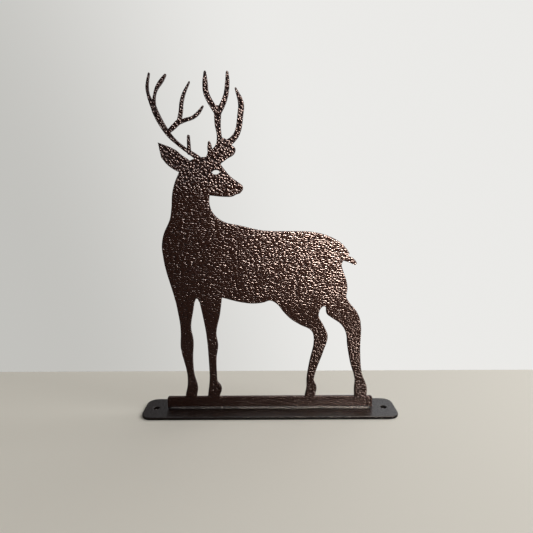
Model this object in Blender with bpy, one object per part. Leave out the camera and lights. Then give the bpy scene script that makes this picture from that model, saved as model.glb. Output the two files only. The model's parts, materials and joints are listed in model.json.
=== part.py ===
"""Stag ornament: a silhouette cut from steel plate, welded upright on a flat base plate.

The stag looks back over its shoulder. Its body, head, near antler and the ground strip under its
hooves are one plate. The far antler is a second plate behind the head. A seam of weld along each
side of the strip holds the silhouette on the base, whose two ends each have a screw hole.

Metres, +Z up, +Y away from the viewer. The origin is under the middle of the base plate.
"""

import math

import bmesh
import bpy
from mathutils import Matrix, Vector
from mathutils.geometry import delaunay_2d_cdt, interpolate_bezier

# The stag
STAG_HEIGHT = 0.308
PLATE_THICKNESS = 0.003
EDGE_ROUND = PLATE_THICKNESS / 5

# The ground strip under the hooves, part of the same plate
STRIP_HEIGHT = 0.012
STRIP_CORNER = 0.0025
STRIP_PAST_FORE_HOOF = 0.018
STRIP_PAST_HIND_HOOF = 0.006

# The base plate, with a bare tab past each end of the strip
BASE_WIDTH = 0.040
BASE_THICKNESS = 0.003
BASE_CORNER = 0.010
BASE_EDGE_ROUND = BASE_THICKNESS / 6
BASE_TAB = 0.023
SCREW_HOLE = 0.006

# Welds and the gap left between neighbouring pieces
WELD_LEG = 0.002
WELD_MIDDLE = 0.6 * WELD_LEG
WELD_END_INSET = 0.0015
ANTLER_WELD_LENGTH = 0.009
JOINT_GAP = 0.0003

# The stag's drawing is in millimetres: x along the base, z up from the soles of the hooves.
# The legs run on below the soles, into the strip.
DRAWN_HEIGHT = 308.0
SCALE = STAG_HEIGHT / DRAWN_HEIGHT
HOOF_DEPTH = STRIP_HEIGHT / SCALE / 3
FORE_TOE = -83.2
HIND_HEEL = 97.0
ANTLER_ROOT_FOOT = 224.2
ANTLER_WELD_MIDDLE = -52.0

# Places that follow from the sizes
STRIP_LENGTH = SCALE * (HIND_HEEL - FORE_TOE) + STRIP_PAST_FORE_HOOF + STRIP_PAST_HIND_HOOF
STRIP_MIDDLE = SCALE * HIND_HEEL + STRIP_PAST_HIND_HOOF - STRIP_LENGTH / 2
STRIP_FOOT = BASE_THICKNESS + JOINT_GAP
SOLE_HEIGHT = STRIP_FOOT + STRIP_HEIGHT
BASE_LENGTH = STRIP_LENGTH + 2 * BASE_TAB

UP = Vector((0, 0, 1))

# Fineness of the curves
CURVE_STEPS = 4
CAP_STEPS = 4
CORNER_STEPS = 6
HOLE_STEPS = 24
SHORTEST_SIDE = 0.00015
MERGE_DISTANCE = 0.000001

# Paint
BRONZE = (0.150, 0.078, 0.045, 1.0)
DARK_BRONZE = (0.120, 0.064, 0.038, 1.0)
PAINT_METALLIC = 0.8
STAG_ROUGHNESS = 0.35
BASE_ROUGHNESS = 0.30

# Closed outlines. Each run of points is smooth, and meets the next run at a corner.
TORSO = (
    ((-54.9, 197.6), (-55.4, 191.0), (-52.2, 181.6), (-42.8, 173.6), (-28.0, 170.0), (-5.0, 165.0),
     (20.0, 164.4), (40.0, 163.8), (55.0, 160.2), (67.0, 154.0), (73.0, 148.0), (76.3, 143.2)),
    ((74.8, 141.0), (69.2, 133.5), (70.6, 126.5), (74.2, 116.5), (75.2, 109.0), (74.2, 102.0)),
    ((68.0, 94.0),),
    ((55.0, 90.5), (53.2, 91.8), (50.8, 90.6), (49.0, 88.0)),
    ((44.0, 80.0),),
    ((30.5, 73.2), (21.0, 79.2), (14.0, 86.2), (7.5, 94.3), (1.0, 97.6), (-5.0, 95.8), (-15.0, 94.7),
     (-27.0, 96.0), (-45.2, 100.7)),
    ((-56.0, 98.0),),
    ((-67.3, 96.5), (-69.4, 99.8), (-71.5, 96.5)),
    ((-80.0, 93.0),),
    ((-89.5, 95.5), (-91.7, 104.5), (-98.6, 130.5), (-100.3, 142.0), (-101.0, 150.0),
     (-98.8, 162.0), (-92.6, 175.5), (-90.7, 186.0), (-89.5, 199.5), (-86.8, 209.5), (-82.6, 218.8)),
    ((-70.0, 214.0),),
)
HEAD = (
    ((-84.0, 214.0), (-81.0, 222.0), (-72.0, 229.5), (-64.0, 232.0), (-57.3, 232.6)),
    ((-55.9, 236.5), (-55.9, 242.8), (-54.4, 246.8), (-52.9, 244.8), (-51.2, 238.8), (-47.0, 230.7),
     (-41.9, 222.8), (-35.0, 214.7), (-28.0, 209.6), (-24.1, 206.0), (-23.9, 203.2), (-26.8, 199.4)),
    ((-30.8, 198.2), (-33.5, 196.7), (-41.0, 196.3), (-54.9, 197.6)),
    ((-70.0, 195.0),),
)
EYE = (
    ((-52.8, 218.8), (-49.8, 220.6), (-46.4, 220.4)),
    ((-45.0, 218.6), (-48.0, 216.8), (-51.0, 217.0)),
)
EAR = (
    ((-101.0, 245.4), (-93.0, 242.6), (-84.0, 238.2), (-79.5, 234.2), (-74.0, 230.6)),
    ((-68.0, 226.0),),
    ((-76.0, 217.0), (-84.0, 219.5), (-92.5, 225.0), (-98.3, 231.8)),
)
TAIL = (
    ((66.0, 145.0), (74.8, 141.0), (80.0, 138.4), (83.4, 133.6), (82.6, 132.3), (76.0, 134.6),
     (70.6, 136.2)),
    ((64.0, 134.0),),
)
FAR_FORE_LEG = (
    ((FORE_TOE, -HOOF_DEPTH), (FORE_TOE, 0.0), (-80.8, 12.0), (-80.8, 24.0), (-86.4, 51.0), (-85.9, 65.0),
     (-86.3, 75.0), (-87.9, 86.0), (-89.5, 95.5), (-91.7, 104.5)),
    ((-80.0, 106.0),),
    ((-71.2, 99.0), (-73.0, 88.5), (-75.7, 71.0), (-73.7, 58.0), (-74.6, 40.0), (-73.9, 24.0),
     (-70.6, 9.5), (-71.8, 0.0), (-71.8, -HOOF_DEPTH)),
)
NEAR_FORE_LEG = (
    ((-61.4, -HOOF_DEPTH), (-61.0, 0.0), (-58.9, 18.0), (-59.2, 36.0), (-61.1, 64.0), (-64.6, 85.0),
     (-67.0, 97.0)),
    ((-56.0, 106.0),),
    ((-45.2, 100.7), (-47.4, 84.0), (-51.3, 65.0), (-49.7, 53.0), (-51.6, 40.0), (-51.4, 17.5)),
    ((-51.0, 15.5), (-47.8, 11.5), (-47.0, 7.0), (-49.2, 0.0), (-49.2, -HOOF_DEPTH)),
)
NEAR_HIND_LEG = (
    ((35.2, -HOOF_DEPTH), (35.3, 0.0), (37.0, 9.0), (37.0, 18.0), (39.6, 36.0), (43.7, 58.0),
     (41.2, 67.3), (30.5, 73.2)),
    ((34.0, 92.0),),
    ((49.0, 88.0), (48.0, 82.5), (52.8, 73.0), (57.2, 62.0), (53.3, 47.0), (44.5, 20.0), (44.3, 16.5),
     (47.0, 10.0), (45.8, 0.0), (45.8, -HOOF_DEPTH)),
)
FAR_HIND_LEG = (
    ((84.8, -HOOF_DEPTH), (84.7, 0.0), (84.4, 8.0), (84.8, 17.5), (80.0, 34.0), (76.5, 52.0), (74.8, 65.0),
     (70.0, 73.5), (60.0, 80.8), (55.6, 84.5), (54.8, 90.5)),
    ((62.0, 106.0),),
    ((75.2, 109.0), (74.2, 102.0), (77.0, 96.0), (84.6, 86.8), (88.8, 76.5), (89.3, 48.0), (91.7, 23.5),
     (96.5, 11.0), (97.2, 6.5), (HIND_HEEL, 0.0), (HIND_HEEL, -HOOF_DEPTH)),
)
ANTLER_ROOT = (
    ((-51.8, 239.9), (-48.7, 243.7), (-47.1, 248.3)),
    ((-43.3, 250.3), (-39.3, 248.7), (-36.2, 246.3)),
    ((-34.6, 243.6), (-30.6, 240.1), (-31.8, 235.2), (-38.3, 231.0), (-43.9, 227.0)),
    ((-46.0, ANTLER_ROOT_FOOT),),
    ((-57.0, ANTLER_ROOT_FOOT), (-60.6, 227.5), (-58.0, 231.0)),
)

# Beams and tines: stations (x, z, width) along the middle, with a round end.
NEAR_ANTLER = (
    ((-62.0, 228.0, 6.5), (-66.5, 232.6, 5.0), (-77.8, 240.4, 3.6), (-84.3, 245.7, 3.7),
     (-91.0, 252.7, 4.7), (-101.4, 270.5, 5.6), (-104.4, 279.5, 5.0)),
    ((-104.2, 277.5, 4.8), (-107.7, 286.5, 2.9), (-108.5, 294.0, 2.9), (-106.5, 304.8, 1.8)),
    ((-103.4, 276.5, 4.4), (-102.3, 286.0, 2.6), (-100.0, 292.5, 3.2), (-96.3, 297.8, 4.0),
     (-92.0, 303.6, 2.2)),
    ((-91.5, 254.5, 3.6), (-87.0, 258.3, 4.6), (-81.6, 263.4, 4.8)),
    ((-81.2, 263.0, 4.4), (-79.3, 271.5, 3.9), (-78.3, 280.0, 3.7), (-75.9, 288.0, 3.1),
     (-70.9, 297.6, 1.5)),
    ((-82.0, 262.6, 4.2), (-74.8, 265.2, 3.5), (-69.0, 267.0, 3.3), (-63.8, 270.9, 3.4),
     (-59.3, 276.8, 1.8)),
    ((-72.7, 236.0, 3.8), (-72.9, 244.0, 3.3), (-73.0, 251.0, 2.6)),
)
FAR_ANTLER = (
    ((-44.7, 242.3, 7.0), (-45.5, 253.4, 4.4), (-46.5, 260.9, 5.5), (-46.5, 270.5, 6.6),
     (-46.6, 275.0, 7.0)),
    ((-47.5, 273.0, 5.6), (-53.1, 281.6, 5.3), (-56.6, 289.6, 5.2), (-57.2, 297.7, 4.9),
     (-57.2, 306.8, 2.4)),
    ((-45.5, 272.5, 5.8), (-41.1, 280.6, 5.0), (-38.5, 288.1, 4.5), (-37.2, 298.7, 3.9),
     (-37.2, 306.6, 2.6)),
    ((-39.3, 244.3, 7.0), (-33.5, 247.9, 6.0), (-28.8, 254.2, 5.5), (-25.9, 269.5, 5.5),
     (-25.2, 280.1, 5.4), (-29.9, 292.9, 1.8)),
)


def new_collection(name):
    """Collection in the scene for the pieces of the ornament."""
    collection = bpy.data.collections.new(name)
    bpy.context.scene.collection.children.link(collection)
    return collection


def hammered_paint(name, colour, roughness):
    """Metallic hammer-finish paint of one colour."""
    material = bpy.data.materials.new(name)
    material.use_nodes = True
    shader = material.node_tree.nodes["Principled BSDF"]
    shader.inputs["Base Color"].default_value = colour
    shader.inputs["Metallic"].default_value = PAINT_METALLIC
    shader.inputs["Roughness"].default_value = roughness
    return material


def headings(points):
    """Direction of a path at each of its points, halfway between the spans on either side."""
    spans = [(b - a).normalized() for a, b in zip(points, points[1:])]
    return [(before + after).normalized() for before, after in zip(spans[:1] + spans, spans + spans[-1:])]


def smooth_path(points, steps=CURVE_STEPS):
    """Points of a smooth curve through the given ones, along Bezier spans with even handles."""
    points = [Vector(point) for point in points]
    path = []
    for a, b, out_of_a, into_b in zip(points, points[1:], headings(points), headings(points)[1:]):
        reach = (b - a).length / 3
        path += interpolate_bezier(a, a + out_of_a * reach, b - into_b * reach, b, steps + 1)[:-1]
    return path + [points[-1]]


def outline_of(runs):
    """Closed outline of smooth runs, each joined to the next at a corner."""
    outline = []
    for run in runs:
        outline += smooth_path(run)
    return outline


def limb_outline(stations):
    """Outline of a beam or tine, offset to both sides of its middle line, with round ends."""
    path = smooth_path(stations)
    middle = [station.xy for station in path]
    arms = [heading.orthogonal() * station.z / 2 for heading, station in zip(headings(middle), path)]
    left = [centre + arm for centre, arm in zip(middle, arms)]
    right = [centre - arm for centre, arm in zip(middle, arms)]
    return right + round_end(middle[-1], -arms[-1]) + left[::-1] + round_end(middle[0], arms[0])


def round_end(centre, arm):
    """Points on the half circle about centre that starts at the tip of arm, both ends left out."""
    return [centre + Matrix.Rotation(math.pi * step / CAP_STEPS, 2) @ arm for step in range(1, CAP_STEPS)]


def fuse(outlines, cut_out=()):
    """Loops around everything that the outlines cover together, less what cut_out covers.

    The outer loop runs anticlockwise and each loop round a hole runs clockwise.
    """
    corners, faces = [], []
    for outline in (*outlines, *cut_out):
        faces.append(list(range(len(corners), len(corners) + len(outline))))
        corners += outline if signed_area(outline) > 0 else outline[::-1]
    points, _, triangles, _, _, sources = delaunay_2d_cdt(corners, [], faces, 1, MERGE_DISTANCE)
    sides = set()
    for triangle, source in zip(triangles, sources):
        if source and max(source) < len(outlines):
            sides.update(zip(triangle, [*triangle[1:], triangle[0]]))
    following = {a: b for a, b in sides if (b, a) not in sides}
    loops = []
    while following:
        start, corner = following.popitem()
        loop = [start]
        while corner != start:
            loop.append(corner)
            corner = following.pop(corner)
        loops.append(without_short_sides([points[index] for index in loop]))
    return sorted(loops, key=len, reverse=True)


def signed_area(loop):
    """Area inside a closed loop, negative where the loop runs clockwise."""
    return sum(a.cross(b) for a, b in zip(loop, [*loop[1:], loop[0]])) / 2


def without_short_sides(loop):
    """The loop without the points that come too soon after the one before."""
    kept = [loop[0]]
    for point in loop[1:]:
        if (point - kept[-1]).length > SHORTEST_SIDE and (point - loop[0]).length > SHORTEST_SIDE:
            kept.append(point)
    return kept


def on_plate(outline):
    """A drawn outline in metres, standing on the ground strip with the strip centred on x = 0."""
    return [Vector((SCALE * x - STRIP_MIDDLE, SOLE_HEIGHT + SCALE * z)) for x, z in outline]


def arc(centre, radius, first, last, steps):
    """Points on an arc, both ends included, with its angles in quarter turns."""
    angles = [math.pi / 2 * (first + (last - first) * step / steps) for step in range(steps + 1)]
    return [Vector((centre[0] + radius * math.cos(a), centre[1] + radius * math.sin(a))) for a in angles]


def ground_strip():
    """Outline of the strip under the hooves, with its two upper corners rounded."""
    reach = STRIP_LENGTH / 2
    inner, shoulder = reach - STRIP_CORNER, SOLE_HEIGHT - STRIP_CORNER
    return [
        Vector((-reach, STRIP_FOOT)),
        Vector((reach, STRIP_FOOT)),
        *arc((inner, shoulder), STRIP_CORNER, 0, 1, CORNER_STEPS),
        *arc((-inner, shoulder), STRIP_CORNER, 1, 2, CORNER_STEPS),
    ]


def flat_piece(name, loops, thickness, edge_round, material, collection):
    """Plate cut to flat loops, the holes in it among them, with both rims bevelled off."""
    curve = bpy.data.curves.new(name + "_outline", "CURVE")
    curve.dimensions = "2D"
    curve.fill_mode = "BOTH"
    curve.extrude = thickness / 2 - edge_round
    curve.bevel_depth = edge_round
    curve.bevel_resolution = 0
    curve.offset = -edge_round
    for loop in loops:
        spline = curve.splines.new("POLY")
        spline.points.add(len(loop) - 1)
        spline.points.foreach_set("co", [value for x, y in loop for value in (x, y, 0.0, 1.0)])
        spline.use_cyclic_u = True
    outline = bpy.data.objects.new(name + "_outline", curve)
    collection.objects.link(outline)
    evaluated = outline.evaluated_get(bpy.context.evaluated_depsgraph_get())
    mesh = bpy.data.meshes.new_from_object(evaluated)
    mesh.name = name
    bpy.data.objects.remove(outline)
    weld_caps(mesh)
    mesh.materials.clear()
    mesh.materials.append(material)
    piece = bpy.data.objects.new(name, mesh)
    collection.objects.link(piece)
    return piece


def weld_caps(mesh):
    """Join the loose caps of a filled curve to its sides."""
    shape = bmesh.new()
    shape.from_mesh(mesh)
    bmesh.ops.remove_doubles(shape, verts=shape.verts, dist=MERGE_DISTANCE)
    bmesh.ops.recalc_face_normals(shape, faces=shape.faces)
    shape.to_mesh(mesh)
    shape.free()


def stand_upright(piece, behind):
    """Turn a plate from its drawing plane to the vertical, its middle at y = behind."""
    piece.rotation_euler.x = math.pi / 2
    piece.location.y = behind


def make_stag_plate(collection):
    """The stag with its near antler and the ground strip, all one plate, with the eye cut through."""
    drawn = [outline_of(runs) for runs in (TORSO, HEAD, EAR, TAIL)]
    drawn += [outline_of(runs) for runs in (FAR_FORE_LEG, NEAR_FORE_LEG, NEAR_HIND_LEG, FAR_HIND_LEG)]
    drawn += [limb_outline(stations) for stations in NEAR_ANTLER]
    loops = fuse([on_plate(outline) for outline in drawn] + [ground_strip()], [on_plate(outline_of(EYE))])
    paint = hammered_paint("stag_bronze", BRONZE, STAG_ROUGHNESS)
    plate = flat_piece("stag_plate", loops, PLATE_THICKNESS, EDGE_ROUND, paint, collection)
    stand_upright(plate, 0.0)


def make_far_antler(collection):
    """The other antler, a plate of its own whose root lies flat against the back of the head."""
    drawn = [outline_of(ANTLER_ROOT)] + [limb_outline(stations) for stations in FAR_ANTLER]
    loops = fuse([on_plate(outline) for outline in drawn])
    paint = hammered_paint("antler_bronze", BRONZE, STAG_ROUGHNESS)
    plate = flat_piece("far_antler", loops, PLATE_THICKNESS, EDGE_ROUND, paint, collection)
    stand_upright(plate, PLATE_THICKNESS + JOINT_GAP)


def make_base_plate(collection):
    """Flat base with rounded corners and a screw hole in the middle of each bare end tab."""
    along, across = BASE_LENGTH / 2 - BASE_CORNER, BASE_WIDTH / 2 - BASE_CORNER
    corners = ((along, across), (-along, across), (-along, -across), (along, -across))
    rim = []
    for quarter, centre in enumerate(corners):
        rim += arc(centre, BASE_CORNER, quarter, quarter + 1, CORNER_STEPS)
    hole_x = (BASE_LENGTH - BASE_TAB) / 2
    holes = [arc((x, 0.0), SCREW_HOLE / 2, 4, 0, HOLE_STEPS)[:-1] for x in (-hole_x, hole_x)]
    paint = hammered_paint("base_bronze", DARK_BRONZE, BASE_ROUGHNESS)
    plate = flat_piece("base_plate", [rim, *holes], BASE_THICKNESS, BASE_EDGE_ROUND, paint, collection)
    plate.location.z = BASE_THICKNESS / 2


def make_weld(name, length, corner, away, up, collection):
    """Seam of weld in the corner between two plates, along the line that is square to away and up."""
    face = smooth_path([(WELD_LEG, 0.0), (WELD_MIDDLE, WELD_MIDDLE), (0.0, WELD_LEG)])
    paint = hammered_paint(name + "_bronze", DARK_BRONZE, BASE_ROUGHNESS)
    seam = flat_piece(name, [[Vector((0.0, 0.0)), *face]], length, 0.0, paint, collection)
    start = corner + (away + up) * JOINT_GAP
    seam.matrix_world = Matrix.Translation(start) @ Matrix((away, up, away.cross(up))).transposed().to_4x4()


def make_base_welds(collection):
    """A seam along each side of the ground strip, between it and the base plate."""
    length = STRIP_LENGTH - 2 * WELD_END_INSET
    for name, away in (("front_weld", Vector((0, -1, 0))), ("back_weld", Vector((0, 1, 0)))):
        corner = away * PLATE_THICKNESS / 2 + UP * BASE_THICKNESS
        make_weld(name, length, corner, away, UP, collection)


def make_antler_weld(collection):
    """A short seam on the back of the head, under the straight lower edge of the far antler's root."""
    x, z = on_plate([(ANTLER_WELD_MIDDLE, ANTLER_ROOT_FOOT)])[0]
    corner = Vector((x, PLATE_THICKNESS / 2, z))
    make_weld("antler_weld", ANTLER_WELD_LENGTH, corner, -UP, Vector((0, 1, 0)), collection)


def main():
    """Build the ornament from nothing."""
    for leftover in list(bpy.data.objects):
        bpy.data.objects.remove(leftover)
    collection = new_collection("stag_ornament")
    make_base_plate(collection)
    make_stag_plate(collection)
    make_far_antler(collection)
    make_base_welds(collection)
    make_antler_weld(collection)


main()
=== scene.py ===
"""Stag ornament in bronze hammer-finish paint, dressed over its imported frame.

The frame's flat plates are rebuilt as fine meshes with rounded rims, dented all over as paint of this
kind dries, and the weld seams are rebuilt as rippled beads. Everything rides on the one body.

Metres, +Z up, +Y away from the viewer, as in the frame.
"""

import json
import logging
import math
from collections.abc import Iterator
from dataclasses import dataclass, field
from enum import Enum

import bmesh
import bpy
import numpy as np
from mathutils import Matrix, Vector
from mathutils.geometry import delaunay_2d_cdt
from mathutils.kdtree import KDTree

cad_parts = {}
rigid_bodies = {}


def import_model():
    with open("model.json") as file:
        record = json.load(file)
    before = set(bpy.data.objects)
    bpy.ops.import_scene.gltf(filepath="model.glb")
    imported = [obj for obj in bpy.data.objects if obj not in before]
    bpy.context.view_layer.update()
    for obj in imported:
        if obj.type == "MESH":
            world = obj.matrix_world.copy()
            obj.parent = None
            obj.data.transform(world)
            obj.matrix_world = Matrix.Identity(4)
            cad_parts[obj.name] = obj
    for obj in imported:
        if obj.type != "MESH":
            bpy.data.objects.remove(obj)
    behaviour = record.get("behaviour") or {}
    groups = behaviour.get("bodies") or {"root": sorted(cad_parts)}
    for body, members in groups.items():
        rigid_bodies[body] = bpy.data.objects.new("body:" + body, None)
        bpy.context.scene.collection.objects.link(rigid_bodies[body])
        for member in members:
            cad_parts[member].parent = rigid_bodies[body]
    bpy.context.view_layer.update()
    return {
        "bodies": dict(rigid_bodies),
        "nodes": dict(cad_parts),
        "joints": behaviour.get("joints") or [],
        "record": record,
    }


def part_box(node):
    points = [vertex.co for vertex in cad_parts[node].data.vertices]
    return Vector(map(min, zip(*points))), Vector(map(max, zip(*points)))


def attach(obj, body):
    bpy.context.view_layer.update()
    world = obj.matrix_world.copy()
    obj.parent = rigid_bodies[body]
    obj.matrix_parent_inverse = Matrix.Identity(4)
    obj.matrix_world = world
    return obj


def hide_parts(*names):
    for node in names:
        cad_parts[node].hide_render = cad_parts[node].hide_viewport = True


log = logging.getLogger("stag_ornament")

MM = 0.001
BODY = "root"
PHOTO_WIDTH = 533
SENSOR = 36.0
NOISE_MIDDLE = 0.5
POINTS_AT_ONCE = 500
WELD_ERROR = 1e-6
DRAWING_ERROR = 1e-5
CLOSE_TO_ZERO = 1e-9
BLACK = (0.0, 0.0, 0.0, 1.0)

# How much a step backwards counts along and up the pattern, so that the rims carry cells too
SIDE_SHARE = 0.7
TOP_SHARE = 0.9

# Sockets of the Mix node that carry colours, and the triangulation that keeps to the outline
MIX_FIRST = 6
MIX_SECOND = 7
MIX_RESULT = 2
INSIDE_OUTLINE = 1

Colour = tuple[float, float, float, float]


class Side(Enum):
    """Which way a plate lies: the directions across it, up it and out of its front face."""

    UPRIGHT = (Vector((1, 0, 0)), Vector((0, 0, 1)), Vector((0, -1, 0)))
    LEVEL = (Vector((1, 0, 0)), Vector((0, 1, 0)), Vector((0, 0, 1)))

    @property
    def matrix(self) -> Matrix:
        """Turns plate coordinates into the frame's."""
        return Matrix(self.value).transposed()

    @property
    def out(self) -> Vector:
        """Direction out of the plate's front face."""
        return self.value[2]


class Wire:
    """A number or vector on its way through a node tree, with arithmetic that adds Math nodes."""

    def __init__(self, sheet: "NodeSheet", socket: bpy.types.NodeSocket) -> None:
        """Wrap an output socket.

        Args:
            sheet: the tree being built.
            socket: the output that carries the value.
        """
        self.sheet = sheet
        self.socket = socket

    def __add__(self, other: "Wire | float") -> "Wire":
        """Sum."""
        return self.sheet.math("ADD", self, other)

    def __sub__(self, other: "Wire | float") -> "Wire":
        """Difference."""
        return self.sheet.math("SUBTRACT", self, other)

    def __mul__(self, other: "Wire | float") -> "Wire":
        """Product."""
        return self.sheet.math("MULTIPLY", self, other)

    def __pow__(self, other: "Wire | float") -> "Wire":
        """Power."""
        return self.sheet.math("POWER", self, other)

    def __rsub__(self, other: float) -> "Wire":
        """A plain number less this value."""
        return self.sheet.math("SUBTRACT", other, self)

    __radd__ = __add__
    __rmul__ = __mul__


class NodeSheet:
    """A node tree under construction, for a material, the world or geometry."""

    def __init__(self, tree: bpy.types.NodeTree) -> None:
        """Start on a tree, which keeps the nodes that it has.

        Args:
            tree: the tree to add to.
        """
        self.tree = tree

    def node(self, kind: str, settings: dict | None = None, values: dict | None = None) -> bpy.types.Node:
        """Add one node.

        Args:
            kind: the node's type.
            settings: its own properties, which are set first.
            values: numbers or wires for its sockets, by name or place.

        Returns:
            The new node.
        """
        node = self.tree.nodes.new(kind)
        for name, value in (settings or {}).items():
            setattr(node, name, value)
        for name, value in (values or {}).items():
            if isinstance(value, Wire):
                self.tree.links.new(value.socket, node.inputs[name])
            else:
                node.inputs[name].default_value = value
        return node

    def wire(
        self, kind: str, settings: dict | None = None, values: dict | None = None, out: int | str = 0,
    ) -> Wire:
        """Add one node and take one of its outputs.

        Args:
            kind: the node's type.
            settings: its own properties.
            values: numbers or wires for its sockets.
            out: the output wanted, by name or place.

        Returns:
            That output.
        """
        return Wire(self, self.node(kind, settings, values).outputs[out])

    def math(self, operation: str, *parts: Wire | float) -> Wire:
        """One Math node on up to three numbers."""
        return self.wire("ShaderNodeMath", {"operation": operation}, dict(enumerate(parts)))

    def vector(self, operation: str, *parts: Wire | Vector | tuple) -> Wire:
        """One Vector Math node on up to three vectors."""
        return self.wire("ShaderNodeVectorMath", {"operation": operation}, dict(enumerate(parts)))

    def dot(self, vector: Wire, axis: Vector) -> Wire:
        """How far a vector reaches along a fixed axis, times the axis's length."""
        settings = {"operation": "DOT_PRODUCT"}
        return self.wire("ShaderNodeVectorMath", settings, {0: vector, 1: axis}, out="Value")

    def scaled(self, vector: Wire, factor: Wire | float) -> Wire:
        """A vector made longer or shorter."""
        return self.wire("ShaderNodeVectorMath", {"operation": "SCALE"}, {0: vector, "Scale": factor})

    def ramp(self, value: Wire, start: float, end: float, low: float = 0.0, high: float = 1.0) -> Wire:
        """Ease a value from one range into another.

        Args:
            value: what is read.
            start: where the rise begins.
            end: where it is over.
            low: the result before the start.
            high: the result past the end.

        Returns:
            The eased value.
        """
        limits = {1: start, 2: end, 3: low, 4: high}
        return self.wire("ShaderNodeMapRange", {"interpolation_type": "SMOOTHSTEP"}, {0: value, **limits})

    def mix(self, factor: Wire | float, first: Wire | Colour, second: Wire | Colour) -> Wire:
        """Blend two colours by a factor."""
        values = {0: factor, MIX_FIRST: first, MIX_SECOND: second}
        return self.wire("ShaderNodeMix", {"data_type": "RGBA"}, values, out=MIX_RESULT)


@dataclass(frozen=True)
class CellLayout:
    """Size, direction and depth of the raised cells from one level of the ornament upwards."""

    pitch: float
    stretch: float
    lean: float
    gain: float = 1.0
    fades_in: float = 0.0
    full_from: float = 0.0

    def counted(self, sheet: NodeSheet, place: Wire) -> Wire:
        """Position counted in cells, along them and across them, on faces that point any of three ways.

        Args:
            sheet: the tree to add to, of any kind.
            place: position in metres.

        Returns:
            The position in cells.
        """
        turn = math.radians(self.lean)
        level = Vector((1, SIDE_SHARE, 0))
        upright = Vector((0, TOP_SHARE, 1))
        along = (level * math.cos(turn) + upright * math.sin(turn)) / (self.pitch * self.stretch)
        across = (upright * math.cos(turn) - level * math.sin(turn)) / self.pitch
        parts = [sheet.dot(place, axis) for axis in (along, across)]
        return sheet.wire("ShaderNodeCombineXYZ", None, dict(enumerate(parts)))


@dataclass(frozen=True)
class HammerPattern:
    """The raised, wrinkled cells that hammer-finish paint dries into.

    They are round on the base and legs, level dashes on the body, and larger and steeper on the head.
    """

    layouts: tuple[CellLayout, ...] = (
        CellLayout(pitch=1.5 * MM, stretch=1.15, lean=0.0),
        CellLayout(pitch=1.25 * MM, stretch=2.3, lean=1.0, fades_in=70 * MM, full_from=120 * MM),
        CellLayout(
            pitch=2.1 * MM, stretch=1.3, lean=-40.0, gain=2.0, fades_in=203 * MM, full_from=232 * MM,
        ),
    )
    warp: float = 0.80
    warp_pitch: float = 7.0 * MM
    crown_fall: float = 1.6
    blend: float = 0.12

    def height(self, sheet: NodeSheet, place: Wire) -> Wire:
        """Height of the paint: 1 on top of a cell, less towards the grooves.

        Args:
            sheet: the tree to add to, of any kind.
            place: position in metres.

        Returns:
            The height at that position.
        """
        drift = sheet.wire(
            "ShaderNodeTexNoise", {"noise_dimensions": "3D"},
            {"Vector": place, "Scale": 1 / self.warp_pitch, "Detail": 1.0, "Roughness": 0.5}, out="Color",
        )
        drift = sheet.scaled(sheet.vector("SUBTRACT", drift, (NOISE_MIDDLE,) * 3), self.warp)
        level = sheet.dot(place, Vector((0, 0, 1)))
        depth = self.sunk(sheet, place, drift, self.layouts[0])
        for layout in self.layouts[1:]:
            reached = sheet.ramp(level, layout.fades_in, layout.full_from)
            depth = depth + reached * (self.sunk(sheet, place, drift, layout) - depth)
        return 1.0 - depth

    def sunk(self, sheet: NodeSheet, place: Wire, drift: Wire, layout: CellLayout) -> Wire:
        """How far the paint lies below the top of its cell.

        Args:
            sheet: the tree to add to.
            place: position in metres.
            drift: offset, in cells, that bends the pattern.
            layout: the size and direction of the cells.

        Returns:
            The depth at that position.
        """
        bent = sheet.vector("ADD", layout.counted(sheet, place), drift)
        cell = sheet.wire(
            "ShaderNodeTexVoronoi", {"feature": "SMOOTH_F1", "voronoi_dimensions": "2D"},
            {"Vector": bent, "Scale": 1.0, "Smoothness": self.blend}, out="Distance",
        )
        return cell * cell * (self.crown_fall * layout.gain)


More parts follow.
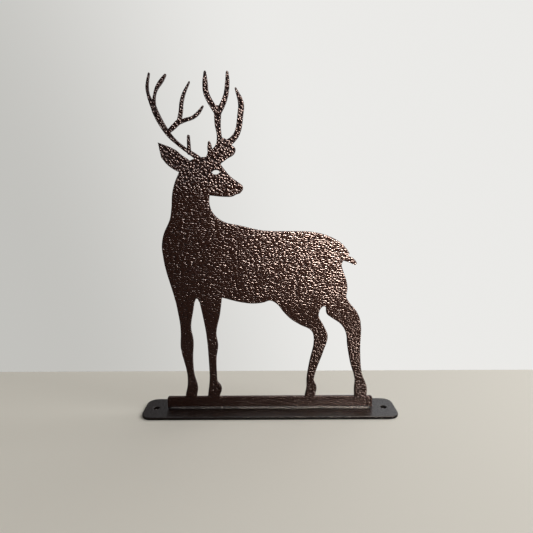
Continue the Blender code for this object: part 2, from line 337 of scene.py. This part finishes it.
@dataclass(frozen=True)
class HammerPaint:
    """Bronze hammer-finish paint: metal flake in a brown lacquer with a glossy skin, its brown darkened
    in the grooves as painted shade.
    """

    name: str
    crown: Colour = (0.062, 0.013, 0.0035, 1.0)
    # Darker groove colour: painted shade in the dents, over the paint's own brown
    shaded_groove: Colour = (0.034, 0.0042, 0.0015, 1.0)
    metallic: float = 0.38
    lacquer_ior: float = 1.9
    lacquer_level: float = 0.5
    crown_roughness: float = 0.25
    groove_roughness: float = 0.27
    # Heights over which the painted groove shade gives way to the crown colour
    groove_shade_fades_from: float = 0.25
    groove_shade_fades_to: float = 0.75
    bump: float = 0.36 * MM
    flake_pitch: float = 0.35 * MM
    flake_in_colour: float = 0.25
    flake_in_height: float = 0.02
    pattern: HammerPattern = HammerPattern()

    def material(self) -> bpy.types.Material:
        """Build the paint.

        Returns:
            The new material.
        """
        material = bpy.data.materials.new(self.name)
        material.use_nodes = True
        sheet = NodeSheet(material.node_tree)
        place = sheet.wire("ShaderNodeTexCoord", out="Object")
        height = self.pattern.height(sheet, place)
        flake = sheet.wire(
            "ShaderNodeTexNoise", {"noise_dimensions": "3D"},
            {"Vector": place, "Scale": 1 / self.flake_pitch, "Detail": 1.0}, out=0,
        )
        shader = material.node_tree.nodes["Principled BSDF"]
        shader.inputs["Metallic"].default_value = self.metallic
        shader.inputs["IOR"].default_value = self.lacquer_ior
        shader.inputs["Specular IOR Level"].default_value = self.lacquer_level
        level = height + (flake - NOISE_MIDDLE) * self.flake_in_colour
        # Colour by height: the grooves get painted shade, the crowns the paint's own brown; roughness
        # follows the same mask
        groove_shade_faded = sheet.ramp(level, self.groove_shade_fades_from, self.groove_shade_fades_to)
        colour = sheet.mix(groove_shade_faded, self.shaded_groove, self.crown)
        rough = self.groove_roughness + groove_shade_faded * (self.crown_roughness - self.groove_roughness)
        bump = sheet.wire(
            "ShaderNodeBump", None,
            {"Height": height + flake * self.flake_in_height, "Distance": self.bump, "Strength": 1.0},
        )
        for name, value in (("Base Color", colour), ("Roughness", rough), ("Normal", bump)):
            sheet.tree.links.new(value.socket, shader.inputs[name])
        return material


@dataclass(frozen=True)
class DarkHammerPaint(HammerPaint):
    """The same paint on the base and the seams, where it is nearly black."""

    crown: Colour = (0.020, 0.009, 0.006, 1.0)
    # Darker groove colour: painted shade in the dents
    shaded_groove: Colour = (0.010, 0.004, 0.003, 1.0)


@dataclass(frozen=True)
class BasePaint(DarkHammerPaint):
    """The dark paint as it lies on the base, flatter and glossier than on the stag."""

    bump: float = 0.20 * MM
    crown_roughness: float = 0.12
    groove_roughness: float = 0.15


@dataclass(frozen=True)
class SeamPaint(DarkHammerPaint):
    """The dark paint as it lies on the weld seams."""

    bump: float = 0.15 * MM
    crown_roughness: float = 0.14
    groove_roughness: float = 0.17


class ReliefModifier:
    """Geometry Nodes that dent a mesh inwards by a pattern and give it its paint."""

    def __init__(self, name: str, pattern: HammerPattern) -> None:
        """Build the tree.

        Args:
            name: the tree's name.
            pattern: the pattern of the dents.
        """
        tree = bpy.data.node_groups.new(name, "GeometryNodeTree")
        face = tree.interface
        face.new_socket("Geometry", in_out="INPUT", socket_type="NodeSocketGeometry")
        self.depth = face.new_socket("Depth", in_out="INPUT", socket_type="NodeSocketFloat").identifier
        self.paint = face.new_socket("Paint", in_out="INPUT", socket_type="NodeSocketMaterial").identifier
        face.new_socket("Geometry", in_out="OUTPUT", socket_type="NodeSocketGeometry")
        sheet = NodeSheet(tree)
        given = sheet.node("NodeGroupInput")
        place = sheet.wire("GeometryNodeInputPosition")
        normal = sheet.wire("GeometryNodeInputNormal")
        sunk = (pattern.height(sheet, place) - 1.0) * Wire(sheet, given.outputs["Depth"])
        dented = sheet.wire(
            "GeometryNodeSetPosition", None,
            {"Geometry": Wire(sheet, given.outputs["Geometry"]), "Offset": sheet.scaled(normal, sunk)},
        )
        solid = sheet.wire("GeometryNodeRealizeInstances", None, {"Geometry": dented})
        painted = sheet.wire(
            "GeometryNodeSetMaterial", None,
            {"Geometry": solid, "Material": Wire(sheet, given.outputs["Paint"])},
        )
        sheet.node("NodeGroupOutput", None, {0: painted})
        self.tree = tree

    def applied_to(
        self, mesh: bpy.types.Mesh, name: str, depth: float, paint: bpy.types.Material,
    ) -> bpy.types.Object:
        """Dent a mesh and keep the result as plain mesh.

        Args:
            mesh: the smooth mesh.
            name: the finished piece's name.
            depth: how far the grooves sink, in metres.
            paint: the piece's material.

        Returns:
            The finished piece.
        """
        blank = bpy.data.objects.new(name + "_blank", mesh)
        bpy.context.scene.collection.objects.link(blank)
        modifier = blank.modifiers.new("relief", "NODES")
        modifier.node_group = self.tree
        modifier[self.depth] = depth
        modifier[self.paint] = paint
        evaluated = blank.evaluated_get(bpy.context.evaluated_depsgraph_get())
        finished = bpy.data.meshes.new_from_object(evaluated)
        bpy.data.objects.remove(blank)
        finished.name = name
        finished.materials.clear()
        finished.materials.append(paint)
        finished.shade_smooth()
        piece = bpy.data.objects.new(name, finished)
        bpy.context.scene.collection.objects.link(piece)
        return piece


@dataclass
class Plate:
    """One flat plate of the frame, rebuilt fine enough to carry the relief, with rounded rims."""

    node: str
    side: Side
    rim: float
    spacing: float
    roundness: float = 2.2
    rings: tuple[float, ...] = (0.10, 0.28, 0.52, 0.78, 1.05)
    ring_clearance: float = 0.8
    ring_thinning: float = 0.3
    wall_rows: int = 1
    thickness: float = field(init=False)
    middle: float = field(init=False)

    def __post_init__(self) -> None:
        """Read the plate's place and thickness off its frame node."""
        turn = self.side.matrix.transposed()
        corners = [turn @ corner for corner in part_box(self.node)]
        heights = sorted(corner.z for corner in corners)
        self.thickness = heights[1] - heights[0]
        self.middle = (heights[0] + heights[1]) / 2

    def loops(self, source: bpy.types.Object) -> list[np.ndarray]:
        """Outline of the plate halfway through its thickness.

        Args:
            source: the frame's object.

        Returns:
            Closed loops of points in millimetres: the outer one first and anticlockwise, then the
            holes, clockwise.
        """
        shape = bmesh.new()
        shape.from_mesh(source.data)
        bmesh.ops.remove_doubles(shape, verts=shape.verts, dist=WELD_ERROR)
        out = self.side.out
        bmesh.ops.bisect_plane(
            shape, geom=shape.verts[:] + shape.edges[:] + shape.faces[:], plane_co=out * self.middle,
            plane_no=out, clear_inner=True, clear_outer=True,
        )
        turn = self.side.matrix.transposed()
        loops = [np.array([(turn @ corner.co).xy for corner in chain]) / MM for chain in chains(shape)]
        shape.free()
        loops.sort(key=lambda loop: -abs(area(loop)))
        return [turned(loop, anticlockwise=place == 0) for place, loop in enumerate(loops)]

    def mesh(self, source: bpy.types.Object) -> bpy.types.Mesh:
        """Triangulate both faces and join them round every rim.

        Args:
            source: the frame's object.

        Returns:
            A closed mesh in the frame's coordinates.
        """
        spacing, rim = self.spacing / MM, self.rim / MM
        loops = [resampled(loop, spacing) for loop in self.loops(source)]
        edge = np.concatenate(loops)
        starts, ends = segments(loops)
        inner, depth = self.ring_points(loops, starts, ends, rim)
        grid = self.grid_points(loops, edge, rim * self.rings[-1] + spacing / 2, spacing)
        flat = np.concatenate([edge, inner, grid])
        depth = np.concatenate([np.zeros(len(edge)), depth, np.full(len(grid), rim)])
        firsts = np.cumsum([0] + [len(loop) for loop in loops])
        faces = [list(range(a, b)) for a, b in zip(firsts, firsts[1:])]
        faces[1:] = [face[::-1] for face in faces[1:]]
        points, _, triangles, origins, _, sources = delaunay_2d_cdt(
            [Vector(point) for point in flat], [], faces, INSIDE_OUTLINE, DRAWING_ERROR,
        )
        # The outline is face 0, and a triangle inside a hole belongs to the hole's face as well
        kept = [list(t) for t, source_faces in zip(triangles, sources) if set(source_faces) == {0}]
        depth = np.array([depth[origin[0]] for origin in origins])
        return self.both_faces(np.array([p[:] for p in points]), depth, kept, rim)

    def ring_points(
        self, loops: list[np.ndarray], starts: np.ndarray, ends: np.ndarray, rim: float,
    ) -> tuple[np.ndarray, np.ndarray]:
        """Points that follow the outline inwards, to carry the rounding of the rim.

        Args:
            loops: the resampled outline, in millimetres.
            starts: where each side of the outline begins.
            ends: where each side ends.
            rim: radius of the rim, in millimetres.

        Returns:
            The points, and how far each one is from the outline.
        """
        found, depths = [], []
        for share in self.rings:
            reach = share * rim
            moved = np.concatenate([loop + inward(loop) * reach for loop in loops])
            away = distance_to(moved, starts, ends)
            clear = away > reach * self.ring_clearance
            found.append(moved[clear])
            depths.append(away[clear])
        apart = self.spacing / MM * self.ring_thinning
        return thinned(np.concatenate(found), np.concatenate(depths), apart)

    def grid_points(
        self, loops: list[np.ndarray], edge: np.ndarray, margin: float, spacing: float,
    ) -> np.ndarray:
        """Points of a honeycomb grid inside the outline.

        Args:
            loops: the resampled outline, in millimetres.
            edge: all of its points.
            margin: how far the grid stays from the outline.
            spacing: distance between neighbours.

        Returns:
            The points.
        """
        tree = KDTree(len(edge))
        for index, (x, y) in enumerate(edge):
            tree.insert((x, y, 0), index)
        tree.balance()
        low, high = edge.min(0), edge.max(0)
        found = []
        rows = np.arange(low[1], high[1], spacing * math.sqrt(3) / 2)
        for number, y in enumerate(rows):
            xs = np.arange(low[0] + (number % 2) * spacing / 2, high[0], spacing)
            for x in xs[inside_row(loops, xs, y)]:
                if tree.find((x, y, 0))[2] > margin:
                    found.append((x, y))
        return np.array(found).reshape(-1, 2)

    def both_faces(
        self, flat: np.ndarray, depth: np.ndarray, triangles: list[list[int]], rim: float,
    ) -> bpy.types.Mesh:
        """Give the triangulated outline its thickness.

        Args:
            flat: points in millimetres.
            depth: distance of each from the outline.
            triangles: the front face's triangles.
            rim: radius of the rim, in millimetres.

        Returns:
            The closed mesh.
        """
        half = self.thickness / MM / 2
        fall = 1 - np.clip(depth / rim, 0, 1)
        lift = half - rim + rim * (1 - fall**self.roundness) ** (1 / self.roundness)
        count = len(flat)
        front = np.column_stack([flat, lift])
        back = np.column_stack([flat, -lift])
        corners = [front, back]
        faces = triangles + [[c + count, b + count, a + count] for a, b, c in triangles]
        sides = set()
        for a, b, c in triangles:
            sides.update(((a, b), (b, c), (c, a)))
        rim_sides = [(a, b) for a, b in sides if (b, a) not in sides]
        rim_points = sorted({a for a, _ in rim_sides})
        level = {point: [point] for point in rim_points}
        for row in range(1, self.wall_rows):
            share = 1 - 2 * row / self.wall_rows
            first = sum(len(part) for part in corners)
            corners.append(np.column_stack([flat[rim_points], lift[rim_points] * share]))
            for place, point in enumerate(rim_points):
                level[point].append(first + place)
        for point in rim_points:
            level[point].append(point + count)
        for a, b in rim_sides:
            for upper, lower in zip(range(self.wall_rows), range(1, self.wall_rows + 1)):
                faces.append([level[a][upper], level[a][lower], level[b][lower], level[b][upper]])
        placed = np.concatenate(corners) * MM + (0, 0, self.middle)
        placed = placed @ np.array(self.side.matrix.transposed())
        mesh = bpy.data.meshes.new(self.node + "_smooth")
        mesh.from_pydata(placed.tolist(), [], faces)
        mesh.shade_smooth()
        return mesh


def chains(shape: bmesh.types.BMesh) -> Iterator[list[bmesh.types.BMVert]]:
    """Follow each closed chain of edges from its first corner.

    Args:
        shape: closed chains of edges, without faces.

    Yields:
        The corners of one chain, in order.
    """
    left = set(shape.verts)
    for start in shape.verts:
        chain = []
        step = start
        while step in left:
            left.remove(step)
            chain.append(step)
            neighbours = [edge.other_vert(step) for edge in step.link_edges]
            step = next((corner for corner in neighbours if corner in left), None)
        if chain:
            yield chain


def area(loop: np.ndarray) -> float:
    """Area inside a loop, negative where it runs clockwise."""
    x, y = loop.T
    return float(np.sum(x * np.roll(y, -1) - np.roll(x, -1) * y) / 2)


def turned(loop: np.ndarray, anticlockwise: bool) -> np.ndarray:
    """The loop, run through in the direction asked for."""
    return loop if (area(loop) > 0) == anticlockwise else loop[::-1]


def resampled(loop: np.ndarray, spacing: float) -> np.ndarray:
    """A loop with its long sides divided.

    Args:
        loop: the loop's points.
        spacing: the longest side that is left whole.

    Returns:
        The loop with the added points.
    """
    points = []
    for start, end in zip(loop, np.roll(loop, -1, 0)):
        steps = max(1, math.ceil(np.linalg.norm(end - start) / spacing))
        points += [start + (end - start) * step / steps for step in range(steps)]
    return np.array(points)


def inward(loop: np.ndarray) -> np.ndarray:
    """Unit direction into the plate at each point of a loop, to the left of its travel."""
    ahead = np.roll(loop, -1, 0) - loop
    ahead /= np.linalg.norm(ahead, axis=1)[:, None]
    along = ahead + np.roll(ahead, 1, 0)
    along /= np.maximum(np.linalg.norm(along, axis=1)[:, None], CLOSE_TO_ZERO)
    return np.column_stack([-along[:, 1], along[:, 0]])


def segments(loops: list[np.ndarray]) -> tuple[np.ndarray, np.ndarray]:
    """Both ends of every side of the loops."""
    return np.concatenate(loops), np.concatenate([np.roll(loop, -1, 0) for loop in loops])


def distance_to(points: np.ndarray, starts: np.ndarray, ends: np.ndarray) -> np.ndarray:
    """Distance from each point to the nearest side.

    Args:
        points: the points.
        starts: where each side begins.
        ends: where each side ends.

    Returns:
        One distance per point.
    """
    along = ends - starts
    lengths = np.sum(along**2, 1)
    found = []
    for chunk in np.array_split(points, max(1, len(points) // POINTS_AT_ONCE)):
        offset = chunk[:, None, :] - starts
        share = np.clip(np.sum(offset * along, 2) / lengths, 0, 1)
        found.append(np.min(np.linalg.norm(offset - share[..., None] * along, axis=2), 1))
    return np.concatenate(found)


def inside_row(loops: list[np.ndarray], xs: np.ndarray, y: float) -> np.ndarray:
    """Which points of one level row are inside the loops.

    Args:
        loops: the outline.
        xs: the row's points.
        y: the row's level.

    Returns:
        True for each point that is inside.
    """
    starts, ends = segments(loops)
    crossing = (starts[:, 1] > y) != (ends[:, 1] > y)
    a, b = starts[crossing], ends[crossing]
    cuts = a[:, 0] + (y - a[:, 1]) * (b[:, 0] - a[:, 0]) / (b[:, 1] - a[:, 1])
    return np.sum(cuts[:, None] < xs, 0) % 2 == 1


def thinned(points: np.ndarray, values: np.ndarray, apart: float) -> tuple[np.ndarray, np.ndarray]:
    """Leave out the points that share a small square with one that came before.

    Args:
        points: the points.
        values: a number for each.
        apart: side of the squares.

    Returns:
        The points that stay, and their numbers.
    """
    _, first = np.unique(np.round(points / apart).astype(int), axis=0, return_index=True)
    first.sort()
    return points[first], values[first]


@dataclass
class WeldSeam:
    """One seam of weld, rebuilt as a rippled bead that closes the gap between the plates it joins."""

    node: str
    away: Vector
    up: Vector
    sink: float = 0.35 * MM
    flat_reach: float = 0.80
    belly: float = 0.06
    toes: float = 0.20
    least_reach: float = 0.1 * MM
    ripple: float = 1.5 * MM
    ripple_depth: float = 0.22 * MM
    ripple_lag: float = 0.45
    round_steps: int = 8
    step: float = 0.3 * MM

    def mesh(self) -> bpy.types.Mesh:
        """Sweep the bead along its seam.

        Returns:
            A closed mesh in the frame's coordinates.
        """
        low, high = (np.array(corner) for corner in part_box(self.node))
        away, up = np.array(self.away), np.array(self.up)
        along = np.abs(np.cross(away, up))
        size = high - low
        corner = (low + high) / 2
        for way in (away, up):
            corner = corner - (np.abs(way) @ size / 2 + self.sink) * way
        leg = float(np.abs(away) @ size) + self.sink
        length = float(along @ size)
        stations = np.linspace(-length / 2, length / 2, max(2, int(length / self.step)))
        rows = []
        for place in stations:
            end = min(1.0, math.sqrt(max(0.0, (length / 2 - abs(place)) / leg)))
            start = corner + along * place
            rows.append([start + across for across in self.profile(away, up, leg, place, end)])
        around = len(rows[0])
        faces = []
        for row in range(len(rows) - 1):
            for k in range(around):
                a, b = row * around + k, row * around + (k + 1) % around
                faces.append([a, b, b + around, a + around])
        last = (len(rows) - 1) * around
        faces.append(list(range(around))[::-1])
        faces.append(list(range(last, last + around)))
        mesh = bpy.data.meshes.new(self.node + "_bead")
        mesh.from_pydata([list(map(float, point)) for row in rows for point in row], [], faces)
        shape = bmesh.new()
        shape.from_mesh(mesh)
        bmesh.ops.remove_doubles(shape, verts=shape.verts, dist=WELD_ERROR)
        bmesh.ops.recalc_face_normals(shape, faces=shape.faces)
        shape.to_mesh(mesh)
        shape.free()
        return mesh

    def profile(
        self, away: np.ndarray, up: np.ndarray, leg: float, place: float, end: float,
    ) -> Iterator[np.ndarray]:
        """Points round the bead at one place along it.

        Args:
            away: direction along the first plate.
            up: direction along the second plate.
            leg: reach of the bead along each plate.
            place: distance along the seam.
            end: 1 in the middle of the seam, falling to 0 at its ends.

        Yields:
            Each point, from the corner between the plates.
        """
        yield away * 0.0
        for step in range(self.round_steps + 1):
            turn = math.pi / 2 * step / self.round_steps
            middle = math.sin(2 * turn)
            lag = place - self.ripple_lag * self.ripple * middle
            wave = (1 - math.cos(2 * math.pi * lag / self.ripple)) / 2
            share = self.flat_reach + self.belly * middle + self.toes * abs(math.cos(2 * turn))
            reach = leg * share * end - self.ripple_depth * (1 - math.sqrt(wave)) * middle
            yield (away * math.cos(turn) + up * math.sin(turn)) * max(self.least_reach, reach)


@dataclass(frozen=True)
class Photographer:
    """The photograph's camera, as it stood in front of the ornament."""

    place: Vector = Vector((-5.6, -435.3, 218.9)) * MM
    focal_pixels: float = 464.0
    down: float = math.radians(9.5)
    turned: float = math.radians(-0.304)
    tilted: float = math.radians(-0.124)
    nearest: float = 10 * MM

    def stand(self) -> None:
        """Stand the camera up and make it the scene's."""
        data = bpy.data.cameras.new("photographer")
        data.sensor_width = SENSOR
        data.lens = self.focal_pixels / PHOTO_WIDTH * SENSOR
        data.clip_start = self.nearest
        camera = bpy.data.objects.new("photographer", data)
        turn = Matrix.Rotation(self.turned, 4, "Z") @ Matrix.Rotation(math.pi / 2 - self.down, 4, "X")
        camera.matrix_world = Matrix.Translation(self.place) @ turn @ Matrix.Rotation(self.tilted, 4, "Z")
        bpy.context.scene.collection.objects.link(camera)
        bpy.context.scene.camera = camera


@dataclass(frozen=True)
class Lamp:
    """One soft square lamp, placed by the direction that it shines from.

    A lamp that isn't soft lights only the gloss, and one that isn't glossy lights only the matt share.
    """

    name: str
    target: Vector
    azimuth: float
    elevation: float
    reach: float
    side: float
    radiance: float
    beam: float
    tint: tuple[float, float, float]
    soft: bool = True
    glossy: bool = True

    def hang(self) -> None:
        """Hang the lamp. Its azimuth is counted from the viewer's side, positive to the right."""
        turn, rise = math.radians(self.azimuth), math.radians(self.elevation)
        way = Vector((math.sin(turn) * math.cos(rise), -math.cos(turn) * math.cos(rise), math.sin(rise)))
        data = bpy.data.lights.new(self.name, "AREA")
        data.shape = "SQUARE"
        data.size = self.side
        data.energy = self.radiance * math.pi * self.side**2
        data.color = self.tint
        data.spread = math.radians(self.beam)
        lamp = bpy.data.objects.new(self.name, data)
        lamp.location = self.target + way * self.reach
        lamp.visible_camera = False
        lamp.visible_diffuse = self.soft
        lamp.visible_glossy = self.glossy
        lamp.rotation_euler = way.to_track_quat("Z", "Y").to_euler()
        bpy.context.scene.collection.objects.link(lamp)


@dataclass(frozen=True)
class Studio:
    """Pale table, pale surroundings and a soft window light from the front right."""

    table: Colour = (0.88, 0.81, 0.69, 1.0)
    table_roughness: float = 0.6
    table_side: float = 1.5
    table_front: float = 0.6
    table_back: float = 102 * MM
    flagged: float = 0.75
    wall: Colour = (0.83, 0.825, 0.805, 1.0)
    wall_shade: Colour = (0.54, 0.535, 0.51, 1.0)
    room_tint: Colour = (0.96, 0.98, 1.0, 1.0)
    room_least: float = 0.012
    wall_least: float = 0.07
    wall_right: float = 1.15
    room_right: float = 0.50
    right_focus: float = 8.0
    overhead: float = 0.35
    wall_span: tuple[float, float] = (-0.05, 0.40)
    right_span: tuple[float, float] = (-0.35, 0.75)
    overhead_span: tuple[float, float] = (0.40, 0.95)
    shade_span: tuple[float, float] = (-0.50, 0.12)
    shade_lean: float = 0.3
    lamps: tuple[Lamp, ...] = (
        Lamp(
            name="window", target=Vector((0.125, 0.0, 0.25)), azimuth=16.0, elevation=39.0, reach=0.42,
            side=0.22, radiance=6.0, beam=36.0, tint=(1.0, 0.925, 0.80), soft=False,
        ),
        Lamp(
            name="high_window", target=Vector((0.0, 0.0, 0.31)), azimuth=16.0, elevation=39.0, reach=0.42,
            side=0.22, radiance=0.9, beam=30.0, tint=(1.0, 1.0, 0.97), soft=False,
        ),
        Lamp(
            name="low_window", target=Vector((0.09, 0.0, 0.055)), azimuth=40.0, elevation=8.0, reach=0.42,
            side=0.16, radiance=1.2, beam=32.0, tint=(1.0, 0.91, 0.80), soft=False,
        ),
        Lamp(
            name="glow", target=Vector((0.12, 0.0, 0.23)), azimuth=35.0, elevation=4.0, reach=0.45,
            side=0.20, radiance=1.3, beam=36.0, tint=(1.0, 0.97, 0.93), glossy=False,
        ),
        Lamp(
            name="ceiling", target=Vector((0.0, 0.0, 0.0)), azimuth=85.0, elevation=45.0, reach=1.0,
            side=0.60, radiance=3.0, beam=180.0, tint=(0.95, 1.0, 1.08), glossy=False,
        ),
    )

    def build(self) -> None:
        """Lay the table, light the room and hang the lamps."""
        self.lay_table()
        self.light_room()
        for lamp in self.lamps:
            lamp.hang()
        bpy.context.scene.view_settings.view_transform = "Standard"

    def lay_table(self) -> None:
        """Lay the pale table that the ornament stands on, near its back edge."""
        shape = bmesh.new()
        bmesh.ops.create_grid(shape, x_segments=1, y_segments=1, size=self.table_side)
        for corner in shape.verts:
            corner.co.y = min(max(corner.co.y, -self.table_front), self.table_back)
        mesh = bpy.data.meshes.new("table")
        shape.to_mesh(mesh)
        shape.free()
        table = bpy.data.objects.new("table", mesh)
        bpy.context.scene.collection.objects.link(table)
        material = bpy.data.materials.new("table_paint")
        material.use_nodes = True
        sheet = NodeSheet(material.node_tree)
        shader = material.node_tree.nodes["Principled BSDF"]
        shader.inputs["Base Color"].default_value = self.table
        shader.inputs["Roughness"].default_value = self.table_roughness
        shader.inputs["Specular IOR Level"].default_value = 0.0
        unseen = 1.0 - sheet.wire("ShaderNodeLightPath", out="Is Camera Ray")
        dark = sheet.wire("ShaderNodeBsdfDiffuse", None, {"Color": BLACK})
        lit = Wire(sheet, shader.outputs[0])
        both = sheet.wire("ShaderNodeMixShader", None, {0: unseen * self.flagged, 1: lit, 2: dark})
        sheet.tree.links.new(both.socket, material.node_tree.nodes["Material Output"].inputs["Surface"])
        mesh.materials.append(material)

    def light_room(self) -> None:
        """Light the room: a pale wall behind, a bright side to the right and a dim room in front."""
        world = bpy.data.worlds.new("room")
        world.use_nodes = True
        bpy.context.scene.world = world
        sheet = NodeSheet(world.node_tree)
        toward = sheet.wire("ShaderNodeTexCoord", out="Generated")
        parts = sheet.node("ShaderNodeSeparateXYZ", None, {0: toward})
        x, y, z = (Wire(sheet, parts.outputs[axis]) for axis in range(3))
        back = sheet.ramp(y, *self.wall_span)
        right = sheet.ramp(x, *self.right_span)
        above = sheet.ramp(z, *self.overhead_span)
        light = self.room_least + back * (self.wall_least + self.wall_right * right)
        light = light + (1.0 - back) * (right**self.right_focus) * self.room_right + above * self.overhead
        seen = sheet.wire("ShaderNodeLightPath", out="Is Camera Ray")
        side = sheet.ramp(x + z * self.shade_lean, *self.shade_span)
        wall = sheet.mix(side, self.wall_shade, self.wall)
        shown = sheet.wire("ShaderNodeBackground", None, {"Color": wall})
        given = sheet.wire("ShaderNodeBackground", None, {"Color": self.room_tint, "Strength": light})
        both = sheet.wire("ShaderNodeMixShader", None, {0: seen, 1: given, 2: shown})
        sheet.tree.links.new(both.socket, world.node_tree.nodes["World Output"].inputs["Surface"])


@dataclass
class StagOrnament:
    """The whole ornament: plates first, then the seams that join them."""

    frame: dict
    relief_depth: float = 0.06 * MM
    bead_relief_depth: float = 0.02 * MM
    plate_rim: float = 0.75 * MM
    base_rim: float = 0.55 * MM
    stag_spacing: float = 0.95 * MM
    antler_spacing: float = 0.80 * MM
    base_spacing: float = 0.90 * MM

    def build(self) -> None:
        """Build every piece and set it on the frame."""
        relief = ReliefModifier("hammered_relief", HammerPattern())
        self.build_plates(relief)
        self.build_seams(relief)

    def build_plates(self, relief: ReliefModifier) -> None:
        """Build the stag, its far antler and the base.

        Args:
            relief: dents and paints each plate.
        """
        coarse = 1.0
        stag = Plate("stag_plate", Side.UPRIGHT, self.plate_rim, self.stag_spacing * coarse)
        antler = Plate("far_antler", Side.UPRIGHT, self.plate_rim, self.antler_spacing * coarse)
        base = Plate("base_plate", Side.LEVEL, self.base_rim, self.base_spacing * coarse, wall_rows=3)
        for plate, name, slot, paint in (
            (stag, "hammered_stag", "stag_bronze", HammerPaint("stag_bronze_paint")),
            (antler, "hammered_antler", "antler_bronze", HammerPaint("antler_bronze_paint")),
            (base, "hammered_base", "base_bronze", BasePaint("base_bronze_paint")),
        ):
            mesh = plate.mesh(self.frame["nodes"][plate.node])
            piece = relief.applied_to(mesh, name, self.relief_depth, paint.material())
            self.settle(piece, plate.node, slot)

    def build_seams(self, relief: ReliefModifier) -> None:
        """Build the weld seams.

        Args:
            relief: dents and paints each bead.
        """
        paint = SeamPaint("weld_bronze_paint").material()
        back = Vector((0, 1, 0))
        up = Vector((0, 0, 1))
        for seam, name in (
            (WeldSeam("front_weld", -back, up), "front_bead"),
            (WeldSeam("back_weld", back, up), "back_bead"),
            (WeldSeam("antler_weld", -up, back), "antler_bead"),
        ):
            piece = relief.applied_to(seam.mesh(), name, self.bead_relief_depth, paint)
            self.settle(piece, seam.node, "weld_bronze")

    def settle(self, piece: bpy.types.Object, node: str, slot: str) -> None:
        """Put a finished piece in its node's stead.

        Args:
            piece: the piece.
            node: the frame node that it stands for.
            slot: the record's material slot; not used.
        """
        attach(piece, BODY)
        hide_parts(node)
        log.info("%s: %d faces in place of %s", piece.name, len(piece.data.polygons), node)


def main() -> None:
    """Dress the frame, stand the camera up and light the scene."""
    logging.basicConfig(level=logging.INFO, format="%(message)s")
    for leftover in list(bpy.data.objects):
        bpy.data.objects.remove(leftover)
    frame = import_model()
    Photographer().stand()
    Studio().build()
    StagOrnament(frame).build()


if __name__ == "__main__":
    main()
